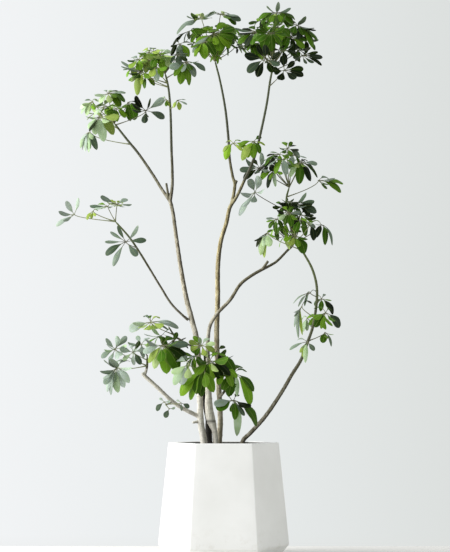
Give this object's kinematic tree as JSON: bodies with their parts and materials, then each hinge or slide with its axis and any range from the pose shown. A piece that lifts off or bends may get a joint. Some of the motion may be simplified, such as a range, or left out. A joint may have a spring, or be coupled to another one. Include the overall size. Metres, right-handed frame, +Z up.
{
  "type": "potted umbrella plant",
  "caption": "Tall umbrella plant with bare woody stems and sprays of palmate leaves, standing in soil in a white six-sided planter that rests on the floor.",
  "frame": {"origin": "middle of the pot's flat underside, on the floor", "axes": "+Z up the plant, -Y the side that the picture shows, +X to the viewer's right"},
  "size_m": [0.8631, 0.4381, 1.6673],
  "materials": {
    "pot_white": "satin",
    "soil": "matte",
    "bark": "matte",
    "leaf": "satin"
  },
  "bodies": {
    "root": {"pot": "pot_white", "soil": "soil", "trunk_left": "bark", "trunk_centre": "bark", "stem_middle": "bark", "stem_right": "bark", "spray_left_high": "leaf", "spray_left_top": "leaf", "spray_left_mid": "leaf", "spray_low_left": "leaf", "spray_low_shoot": "leaf", "sprout_low": "leaf", "spray_centre_top": "leaf", "spray_right_top": "leaf", "spray_low_right": "leaf", "spray_right_upper": "leaf", "spray_low_centre": "leaf", "spray_right_arch": "leaf"}
  },
  "joints": []
}
